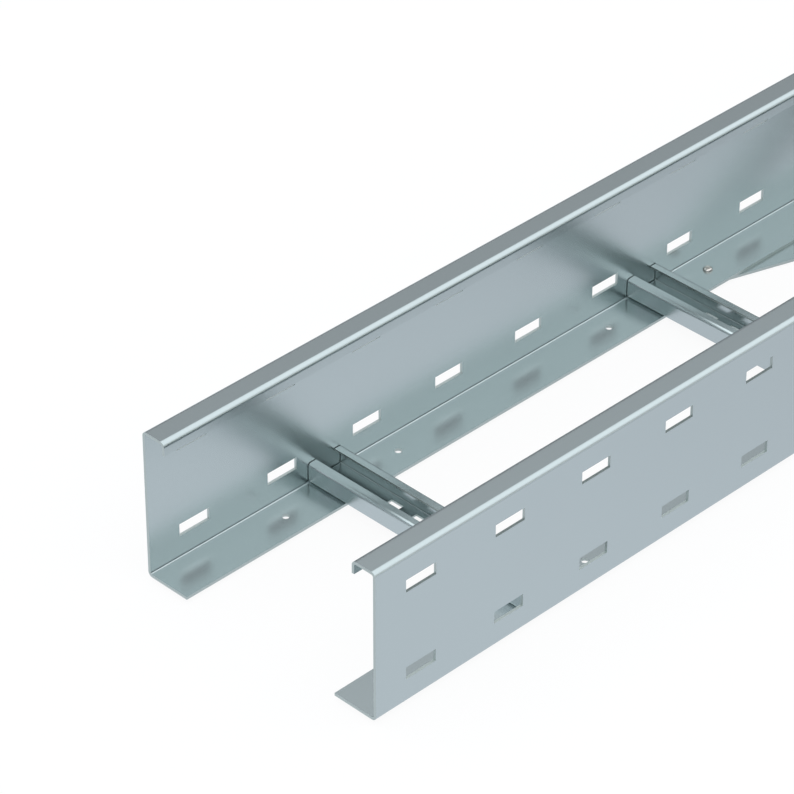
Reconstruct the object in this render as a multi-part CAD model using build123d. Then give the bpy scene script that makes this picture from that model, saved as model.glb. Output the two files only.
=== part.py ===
from build123d import *
from math import atan2, degrees, hypot
import os

# Cable ladder section: two bent side rails, joined by open-top rungs and stiffened from
# below by riveted diagonal flat bars. Millimetres, X along the ladder, Y across it, Z up.
# The origin is on the floor below the middle of the ladder.

# Ladder as a whole
ladder_length = 3000.0
ladder_width = 200.0

# Side rail, one strip of sheet bent into a channel that opens towards the ladder's middle
rail_height = 110.0
rail_sheet = 2.0
rail_bend_radius = 1.5
top_flange_width = 19.5
lip_height = 9.5
bottom_flange_width = 35.0

# Two rows of slots in each rail's web, set in from the rail's top and bottom
slot_length = 25.0
slot_height = 9.0
slot_pitch = 75.0
slot_row_inset = 22.5

# Rung, a shallow channel that opens upwards and stands on the bottom flanges
rung_width = 30.0
rung_height = 15.0
rung_lip = 6.75
rung_sheet = 1.5
rung_bend_radius = 1.0
rung_pitch = 300.0
rung_end_gap = 0.5

# Slots in the rung's floor, in two pairs about the ladder's middle
floor_slot_length = 17.0
floor_slot_width = 10.5
floor_slot_first = 19.0
floor_slot_pitch = 22.0

# Blind rivet, pushed up from below through the brace and the rail's bottom flange
rivet_shank_diameter = 4.8
rivet_clearance = 0.2
rivet_head_overhang = 2.25
rivet_head_height = 1.2
rivet_bulge_overhang = 1.0
rivet_bulge_height = 2.2
mandrel_diameter = 2.9
mandrel_height = 0.5

# Round holes in the bottom flanges, one on each side of a rung
flange_hole_inset = 18.0
hole_from_rung = 50.0

# Diagonal brace, a flat bar under the bottom flanges, centred below a rung
brace_width = 25.0
brace_thickness = 2.0
brace_end_margin = 10.0
rungs_per_brace = 5

# Thickness of what cuts a hole, in sheets, half of it on each side of the sheet's outer face
cutter_sheets = 4

# Levels and places that follow from the sizes above
rail_bottom = rivet_head_height + brace_thickness
flange_top = rail_bottom + rail_sheet
half_length = ladder_length / 2
half_width = ladder_width / 2
hole_row_y = half_width - flange_hole_inset
flange_hole_diameter = rivet_shank_diameter + rivet_clearance
rung_count = int(ladder_length // rung_pitch)
slot_count = int(ladder_length // slot_pitch)
brace_count = max(1, round(rung_count / rungs_per_brace))
brace_rungs = [int((number + 0.5) * rung_count / brace_count) for number in range(brace_count)]


def rung_x(index):
    """Centre of a rung along the ladder, with the row of rungs centred on the origin."""
    return (index - (rung_count - 1) / 2) * rung_pitch


def bent_sheet(points, thickness, bend_radius):
    """Section of a bent strip: points are its outer corners, with the strip on their right."""
    outside = FilletPolyline(*points, radius=bend_radius + thickness)
    return make_face(offset(outside, amount=thickness, side=Side.RIGHT, closed=True))


def flange_hole_places():
    """Distances along the ladder of the round holes in a bottom flange."""
    places = []
    for index in range(rung_count):
        places += [rung_x(index) - hole_from_rung, rung_x(index) + hole_from_rung]
    return places


def make_right_rail():
    """Rail on the -Y side, with its channel open towards +Y."""
    corners = [
        (bottom_flange_width, 0),
        (0, 0),
        (0, rail_height),
        (top_flange_width, rail_height),
        (top_flange_width, rail_height - lip_height),
    ]
    section = bent_sheet(corners, rail_sheet, rail_bend_radius)
    start = Plane((-half_length, -half_width, rail_bottom), x_dir=(0, 1, 0), z_dir=(1, 0, 0))
    rail = extrude(start * section, amount=ladder_length)

    slot = Box(slot_length, cutter_sheets * rail_sheet, slot_height)
    row_spacing = rail_height - 2 * slot_row_inset
    web_middle = Pos(0, -half_width, rail_bottom + rail_height / 2)
    web_slots = []
    for place in GridLocations(slot_pitch, row_spacing, slot_count, 2):
        along, up = place.position.X, place.position.Y
        web_slots.append(web_middle * Pos(along, 0, up) * slot)

    hole = Cylinder(flange_hole_diameter / 2, cutter_sheets * rail_sheet)
    flange_holes = [Pos(x, -hole_row_y, rail_bottom) * hole for x in flange_hole_places()]
    return rail - web_slots - flange_holes


def make_rung():
    """Rung at the ladder's middle, with its lower end edges rounded to clear the rails' bends."""
    half = rung_width / 2
    corners = [
        (half - rung_lip, rung_height),
        (half, rung_height),
        (half, 0),
        (-half, 0),
        (-half, rung_height),
        (-half + rung_lip, rung_height),
    ]
    section = bent_sheet(corners, rung_sheet, rung_bend_radius)
    rung_length = ladder_width - 2 * (rail_sheet + rung_end_gap)
    start = Plane((0, rung_length / 2, flange_top), x_dir=(1, 0, 0), z_dir=(0, -1, 0))
    bent = extrude(start * section, amount=rung_length)

    side_view = Rectangle(rung_length, rung_height)
    side_view = fillet(side_view.vertices().group_by(Axis.Y)[0], radius=rail_bend_radius)
    side_view = Plane.YZ * Pos(0, flange_top + rung_height / 2) * side_view
    rung = bent & extrude(side_view, amount=rung_width, both=True)

    floor_slot = Box(floor_slot_length, floor_slot_width, cutter_sheets * rung_sheet)
    floor_slots = []
    for side in (-1, 1):
        for distance in (floor_slot_first, floor_slot_first + floor_slot_pitch):
            floor_slots.append(Pos(0, side * distance, flange_top) * floor_slot)
    return rung - floor_slots


def brace_ends(number, index):
    """The two rivet places of a brace. Every second brace runs the other way."""
    reach = rung_pitch - hole_from_rung
    side = 1 if number % 2 == 0 else -1
    first = (rung_x(index) - reach, side * hole_row_y)
    last = (rung_x(index) + reach, -side * hole_row_y)
    return first, last


def make_brace(first, last):
    """Flat bar from one rivet place to the other, under the bottom flanges."""
    along, across = last[0] - first[0], last[1] - first[1]
    bar = Box(hypot(along, across) + 2 * brace_end_margin, brace_width, brace_thickness)
    middle = ((first[0] + last[0]) / 2, (first[1] + last[1]) / 2)
    level = rail_bottom - brace_thickness / 2
    heading = Rot(0, 0, degrees(atan2(across, along)))
    bar = Pos(middle[0], middle[1], level) * heading * bar
    hole = Cylinder(flange_hole_diameter / 2, cutter_sheets * brace_thickness)
    return bar - [Pos(x, y, level) * hole for x, y in (first, last)]


def make_rivet(x, y):
    """Set blind rivet: domed head below, swollen end with the mandrel's stub above."""
    shank = rivet_shank_diameter / 2
    head = flange_hole_diameter / 2 + rivet_head_overhang
    bulge = flange_hole_diameter / 2 + rivet_bulge_overhang
    bulge_top = flange_top + rivet_bulge_height
    mandrel = mandrel_diameter / 2
    stub_top = bulge_top + mandrel_height
    outline = [
        TangentArc((0, 0), (head, rivet_head_height), tangent=(1, 0)),
        Polyline(
            (head, rivet_head_height),
            (shank, rivet_head_height),
            (shank, flange_top),
            (bulge, flange_top),
        ),
        TangentArc((bulge, flange_top), (mandrel, bulge_top), tangent=(0, 1)),
        Polyline((mandrel, bulge_top), (mandrel, stub_top), (0, stub_top), (0, 0)),
    ]
    half_section = make_face(Curve() + outline)
    return Pos(x, y, 0) * revolve(Plane.XZ * half_section, axis=Axis.Z)


def save(shape, name):
    """Write one piece to its own file, named after it."""
    export_step(shape, f"parts/{name}.step")


os.makedirs("parts", exist_ok=True)

right_rail = make_right_rail()
save(right_rail, "side_rail_right")
save(mirror(right_rail, about=Plane.XZ), "side_rail_left")

rung = make_rung()
for index in range(rung_count):
    save(Pos(rung_x(index), 0, 0) * rung, f"rung_{index + 1:02d}")

rivet_count = 0
for number, index in enumerate(brace_rungs):
    ends = brace_ends(number, index)
    save(make_brace(*ends), f"diagonal_brace_{number + 1}")
    for x, y in ends:
        rivet_count += 1
        save(make_rivet(x, y), f"rivet_{rivet_count}")
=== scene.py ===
from math import radians

import bpy
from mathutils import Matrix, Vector


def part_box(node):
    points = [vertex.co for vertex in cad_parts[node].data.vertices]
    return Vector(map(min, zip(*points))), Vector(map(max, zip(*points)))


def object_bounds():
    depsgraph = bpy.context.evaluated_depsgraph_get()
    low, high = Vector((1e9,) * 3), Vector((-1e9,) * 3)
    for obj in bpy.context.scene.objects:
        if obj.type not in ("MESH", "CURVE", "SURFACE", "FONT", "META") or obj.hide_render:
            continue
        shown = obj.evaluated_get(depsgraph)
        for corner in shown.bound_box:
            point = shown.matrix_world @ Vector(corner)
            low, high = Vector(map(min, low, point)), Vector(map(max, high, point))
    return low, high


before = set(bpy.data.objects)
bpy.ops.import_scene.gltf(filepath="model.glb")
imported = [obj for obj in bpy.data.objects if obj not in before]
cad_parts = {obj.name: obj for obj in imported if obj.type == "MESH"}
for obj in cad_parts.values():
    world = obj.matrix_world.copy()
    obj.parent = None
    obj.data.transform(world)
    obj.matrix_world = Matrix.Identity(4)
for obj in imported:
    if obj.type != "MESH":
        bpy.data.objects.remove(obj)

cad_low, cad_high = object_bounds()

# Camera, set out from the ladder's start. Lens and sensor in millimetres, angles in degrees,
# the rest in metres
camera_heading = 45.1037
camera_pitch = 35.1605
camera_lens = 183.84
sensor_width = 36.0
aim_along = 0.2438
aim_across = 0.1271
aim_distance = 2.6631
camera_reach = 200.0

# Light from around the ladder, where 1 is white: a grey room with one wide softbox in it, above
# the ladder and on its near side. Start and finish are the ladder's ends, at -X and +X
near_room_start = (0.35, 0.36, 0.44)
near_room_finish = (0.79, 0.82, 0.84)
far_room_start = (0.8, 0.81, 0.9)
far_room_finish = (0.35, 0.36, 0.38)
softbox_colour = (1.36, 1.42, 1.48)

# Where one part of the light turns into the next, as parts of a direction one long
start_to_finish = (-0.3, 0.3)
near_to_far = (-0.4, 0.4)
softbox_towards = (0.0, -0.5, 0.866)
softbox_edge = (0.27, 0.42)
softbox_foot = (0.3, 0.42)

# The softbox is brighter on its far side, towards the start
softbox_far_gain = 1.45
softbox_far_edge = (0.35, 0.55)
softbox_finish_edge = (0.25, 0.55)

# The floor is white to the camera. The sheet mirrors it a little cooler, and brightest at the
# ladder's start
floor_reach = 60.0
floor_diffuse = (0.9, 0.9, 0.9)
floor_white = (1.0, 1.0, 1.0)
shadow_depth = 0.08
mirrored_start = (0.855, 0.895, 0.965)
mirrored_rest = (0.74, 0.77, 0.832)
mirrored_fade = (-1.45, -0.7)

# Finishes. The rungs' strip is a little brighter than the rails', and sheet is duller where it
# is cut through
rail_colour = (0.5, 0.56, 0.56)
rung_colour = (0.51, 0.571, 0.571)
cut_tint = (1.06, 1.05, 1.01)
sheet_roughness = 0.27
cut_roughness = 0.55
rivet_colour = (0.64, 0.61, 0.57)
rivet_roughness = 0.25

# Surface detail of the sheet. Sizes and the relief's height are in metres, strengths a share of
# the colour, and the change is in the roughness itself
mottle_size = 0.004
mottle_strength = 0.003
streak_width = 0.0008
streak_length = 0.12
streak_strength = 0.008
cloud_size = 0.1
cloud_strength = 0.012
roughness_change = 0.004
zinc_relief = 0.000001
noise_detail = 3.0

# Surface detail of the rivets, in the same units
rivet_mottle_size = 0.0009
rivet_mottle_strength = 0.05
rivet_roughness_change = 0.04
rivet_relief = 0.000004

# How far each strip's length is turned away from +X, in degrees
rail_turn = 0
rung_turn = 90
brace_turn = 18.2

# Thickness of the pieces' sheet, and how far a rail's bends reach up or down from its outside
rail_thickness = 0.002
rung_thickness = 0.0015
brace_thickness = 0.002
bend_reach = 0.0035

# Level sheet is looked for within this many thicknesses. A face is turned away from a direction
# where its normal has less than this much of it
level_margin = 1.03
facing_limit = 0.5

rail_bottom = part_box("side_rail_left")[0].z


def node_tree(owner):
    """The node tree of a material or a world, emptied."""
    owner.use_nodes = True
    tree = owner.node_tree
    tree.nodes.clear()
    return tree


def add(tree, kind, *links, **values):
    """One node. Links go to its inputs in order, and values to the inputs that they name."""
    node = tree.nodes.new("ShaderNode" + kind)
    for socket, source in zip(node.inputs, links):
        tree.links.new(source, socket)
    for name, value in values.items():
        node.inputs[name].default_value = value
    return node


def maths(tree, operation, first, second=0.0):
    """The result of one sum on two values, each of them a socket or a number."""
    node = tree.nodes.new("ShaderNodeMath")
    node.operation = operation
    for socket, value in zip(node.inputs, (first, second)):
        if isinstance(value, (int, float)):
            socket.default_value = value
        else:
            tree.links.new(value, socket)
    return node.outputs[0]


def ramp(tree, value, start, end, low=0.0, high=1.0):
    """A smooth step from low to high as the value goes from start to end."""
    node = tree.nodes.new("ShaderNodeMapRange")
    node.interpolation_type = "SMOOTHSTEP"
    tree.links.new(value, node.inputs["Value"])
    for name, number in (("From Min", start), ("From Max", end), ("To Min", low), ("To Max", high)):
        node.inputs[name].default_value = number
    return node.outputs["Result"]


def blend(tree, share, first, second):
    """A colour between two, each of them a socket or a colour."""
    node = tree.nodes.new("ShaderNodeMix")
    node.data_type = "RGBA"
    tree.links.new(share, node.inputs[0])
    for socket, colour in zip(node.inputs[6:8], (first, second)):
        if isinstance(colour, tuple):
            socket.default_value = (*colour, 1)
        else:
            tree.links.new(colour, socket)
    return node.outputs[2]


def scaled(tree, colour, factor):
    """A colour, as a socket or as numbers, times a factor."""
    node = tree.nodes.new("ShaderNodeVectorMath")
    node.operation = "SCALE"
    if isinstance(colour, tuple):
        node.inputs[0].default_value = colour
    else:
        tree.links.new(colour, node.inputs[0])
    tree.links.new(factor, node.inputs["Scale"])
    return node.outputs[0]


def stretched(tree, turn, along, across):
    """Object coordinates turned to a strip's length, scaled so that the two sizes are 1."""
    node = add(tree, "Mapping", add(tree, "TexCoord").outputs["Object"])
    node.vector_type = "TEXTURE"
    node.inputs["Rotation"].default_value = (0, 0, radians(turn))
    node.inputs["Scale"].default_value = (along, across, across)
    return node.outputs[0]


def noise(tree, place, strength):
    """A factor close to 1 that wanders over the surface."""
    value = add(tree, "TexNoise", place, Scale=1.0, Detail=noise_detail).outputs["Fac"]
    return maths(tree, "ADD", maths(tree, "MULTIPLY", value, 2 * strength), 1.0 - strength)


def turned_away(tree, part):
    """1 where a face is turned away from the direction that this part of its normal is for."""
    return maths(tree, "LESS_THAN", maths(tree, "ABSOLUTE", part), facing_limit)


def near_levels(tree, height, low, high, reach):
    """1 within a reach of the lowest or the highest level."""
    near_low = maths(tree, "LESS_THAN", height, low + reach)
    return maths(tree, "MAXIMUM", near_low, maths(tree, "GREATER_THAN", height, high - reach))


def cut_faces(tree, low, high, side, thickness):
    """1 where the surface is a cut through the sheet, in a strip with level sheet at its lowest
    and highest levels and upright sheet between them, which faces along the given side."""
    place = add(tree, "TexCoord").outputs
    height = add(tree, "SeparateXYZ", place["Object"]).outputs["Z"]
    facing = add(tree, "SeparateXYZ", place["Normal"]).outputs
    level = near_levels(tree, height, low, high, level_margin * thickness)
    cut_level = maths(tree, "MULTIPLY", level, turned_away(tree, facing["Z"]))
    off_side = turned_away(tree, facing["Y"])
    if side == "Y":
        bend = near_levels(tree, height, low, high, bend_reach)
        bend = maths(tree, "MULTIPLY", bend, turned_away(tree, facing["X"]))
        off_side = maths(tree, "MULTIPLY", off_side, maths(tree, "SUBTRACT", 1.0, bend))
    else:
        off_side = maths(tree, "SUBTRACT", 1.0, off_side)
    upright = maths(tree, "SUBTRACT", 1.0, level)
    return maths(tree, "ADD", cut_level, maths(tree, "MULTIPLY", upright, off_side))


def bare_metal(tree, colour, rough, bumps, height):
    """Metal with bumps, where the height is that of a bump of 1 in metres."""
    relief = add(tree, "Bump", Strength=1.0, Distance=height)
    tree.links.new(bumps, relief.inputs["Height"])
    shader = add(tree, "BsdfPrincipled", colour, Metallic=1.0)
    tree.links.new(rough, shader.inputs["Roughness"])
    tree.links.new(relief.outputs[0], shader.inputs["Normal"])
    add(tree, "OutputMaterial", shader.outputs[0])


def galvanised(name, node, colour, turn, side, thickness):
    """Smooth galvanised sheet, rolled along the direction that is the turn away from +X."""
    material = bpy.data.materials.new(name)
    tree = node_tree(material)
    low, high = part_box(node)
    streaks = noise(tree, stretched(tree, turn, streak_length, streak_width), streak_strength)
    spots = stretched(tree, turn, mottle_size, mottle_size)
    mottle = noise(tree, spots, mottle_strength)
    clouds = noise(tree, stretched(tree, turn, cloud_size, cloud_size), cloud_strength)
    tone = maths(tree, "MULTIPLY", maths(tree, "MULTIPLY", streaks, mottle), clouds)
    cut = cut_faces(tree, low.z, high.z, side, thickness)
    cut_colour = tuple(part * tint for part, tint in zip(colour, cut_tint))
    rough = ramp(tree, cut, 0.0, 1.0, sheet_roughness, cut_roughness)
    rough = maths(tree, "MULTIPLY", noise(tree, spots, roughness_change / sheet_roughness), rough)
    toned = scaled(tree, blend(tree, cut, colour, cut_colour), tone)
    bare_metal(tree, toned, rough, streaks, zinc_relief / streak_strength)
    return material


def rivet_steel():
    """Plain zinc-plated steel, a little warmer than the sheet."""
    material = bpy.data.materials.new("rivet_steel")
    tree = node_tree(material)
    place = stretched(tree, 0, rivet_mottle_size, rivet_mottle_size)
    mottle = noise(tree, place, rivet_mottle_strength)
    rough = noise(tree, place, rivet_roughness_change / rivet_roughness)
    rough = maths(tree, "MULTIPLY", rough, rivet_roughness)
    toned = scaled(tree, rivet_colour, mottle)
    bare_metal(tree, toned, rough, mottle, rivet_relief / rivet_mottle_strength)
    return material


def dress():
    """A finish on every piece, by the start of its name."""
    finishes = {
        "side_rail": galvanised(
            "rail_sheet", "side_rail_left", rail_colour, rail_turn, "Y", rail_thickness),
        "rung": galvanised("rung_sheet", "rung_01", rung_colour, rung_turn, "X", rung_thickness),
        "diagonal_brace_1": galvanised(
            "brace_sheet_1", "diagonal_brace_1", rail_colour, -brace_turn, "X", brace_thickness),
        "diagonal_brace_2": galvanised(
            "brace_sheet_2", "diagonal_brace_2", rail_colour, brace_turn, "X", brace_thickness),
        "rivet": rivet_steel(),
    }
    for name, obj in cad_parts.items():
        obj.data.materials.clear()
        finish = next(finishes[start] for start in finishes if name.startswith(start))
        obj.data.materials.append(finish)


def make_world():
    """A grey room with one wide softbox in it."""
    world = bpy.data.worlds.new("studio")
    bpy.context.scene.world = world
    tree = node_tree(world)
    direction = add(tree, "TexCoord").outputs["Generated"]
    facing = tree.nodes.new("ShaderNodeVectorMath")
    facing.operation = "DOT_PRODUCT"
    facing.inputs[1].default_value = Vector(softbox_towards).normalized()
    tree.links.new(direction, facing.inputs[0])
    parts = add(tree, "SeparateXYZ", direction).outputs
    finish = ramp(tree, parts["X"], *start_to_finish)
    near = blend(tree, finish, near_room_start, near_room_finish)
    far = blend(tree, finish, far_room_start, far_room_finish)
    room = blend(tree, ramp(tree, parts["Y"], *near_to_far), near, far)
    inside = ramp(tree, facing.outputs["Value"], *softbox_edge)
    inside = maths(tree, "MULTIPLY", inside, ramp(tree, parts["Z"], *softbox_foot))
    far_side = ramp(tree, parts["Y"], *softbox_far_edge, 0.0, softbox_far_gain - 1.0)
    start_side = ramp(tree, parts["X"], *softbox_finish_edge, 1.0, 0.0)
    gain = maths(tree, "ADD", maths(tree, "MULTIPLY", far_side, start_side), 1.0)
    softbox = scaled(tree, softbox_colour, gain)
    background = add(tree, "Background", blend(tree, inside, room, softbox))
    add(tree, "OutputWorld", background.outputs[0])


def make_floor():
    """White floor, on which the ladder's shadow is faint."""
    mesh = bpy.data.meshes.new("floor")
    corners = [(x * floor_reach, y * floor_reach, 0) for x, y in ((-1, -1), (1, -1), (1, 1), (-1, 1))]
    mesh.from_pydata(corners, [], [(0, 1, 2, 3)])
    floor = bpy.data.objects.new("floor", mesh)
    bpy.context.scene.collection.objects.link(floor)
    material = bpy.data.materials.new("floor")
    tree = node_tree(material)
    plain = add(tree, "BsdfDiffuse", Color=(*floor_diffuse, 1))
    white = add(tree, "Emission", Color=(*floor_white, 1))
    along = add(tree, "SeparateXYZ", add(tree, "NewGeometry").outputs["Position"]).outputs["X"]
    fade = ramp(tree, along, *mirrored_fade)
    mirrored = add(tree, "Emission", blend(tree, fade, mirrored_start, mirrored_rest))
    path = add(tree, "LightPath").outputs
    seen = maths(tree, "MULTIPLY", path["Is Camera Ray"], 1.0 - shadow_depth)
    in_metal = maths(tree, "MAXIMUM", path["Is Glossy Ray"], path["Is Transmission Ray"])
    mix = add(tree, "MixShader", seen, plain.outputs[0], white.outputs[0])
    mix = add(tree, "MixShader", in_metal, mix.outputs[0], mirrored.outputs[0])
    add(tree, "OutputMaterial", mix.outputs[0])
    mesh.materials.append(material)


def make_camera():
    """The photograph's camera, which looks along the ladder from above its start."""
    data = bpy.data.cameras.new("camera")
    data.lens = camera_lens
    data.sensor_width = sensor_width
    data.clip_end = camera_reach
    camera = bpy.data.objects.new("camera", data)
    bpy.context.scene.collection.objects.link(camera)
    camera.rotation_euler = (radians(90 - camera_pitch), 0, radians(camera_heading - 90))
    aim = Vector((cad_low.x + aim_along, aim_across, rail_bottom))
    back = camera.rotation_euler.to_matrix() @ Vector((0, 0, 1))
    camera.location = aim + back * aim_distance
    bpy.context.scene.camera = camera


dress()
make_world()
make_floor()
make_camera()
bpy.context.scene.view_settings.view_transform = "Standard"
